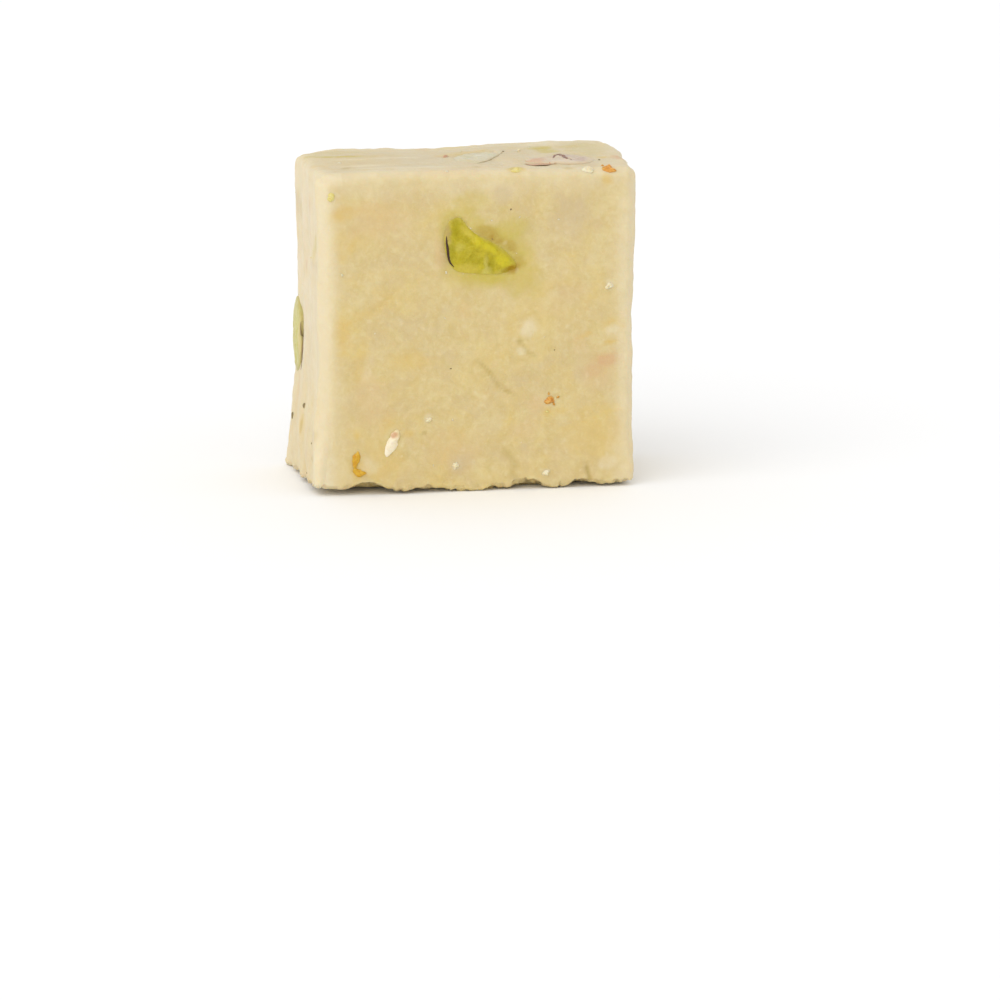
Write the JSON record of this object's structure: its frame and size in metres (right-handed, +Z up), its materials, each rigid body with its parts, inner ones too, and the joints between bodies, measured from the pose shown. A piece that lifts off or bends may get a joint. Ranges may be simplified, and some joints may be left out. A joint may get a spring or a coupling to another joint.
{
  "type": "pistachio dry fruit bite",
  "caption": "Hand-cut upright block of pale nut sweet with broken pistachios and almonds set flush in its faces.",
  "frame": {"origin": "middle of the underside, on the surface that the sweet stands on", "axes": "+Z up, -Y out of the broad front face, +X to the right seen from the front"},
  "size_m": [0.0327, 0.0168, 0.0318],
  "materials": {
    "sweet_dough": "waxy matte cream-yellow dough, softly mottled",
    "pistachio": "broken yellow-green pistachio flesh with a purple-brown skin",
    "pistachio_pale": "pale cut pistachio flesh",
    "almond": "pale almond flesh with a pink-brown skin"
  },
  "bodies": {
    "root": {"bite_body": "sweet_dough", "pistachio_front": "pistachio", "pistachio_left": "pistachio_pale", "pistachio_top": "pistachio_pale", "almond_top": "almond", "pistachio_back": "pistachio", "almond_back": "almond", "pistachio_right": "pistachio"}
  },
  "joints": []
}
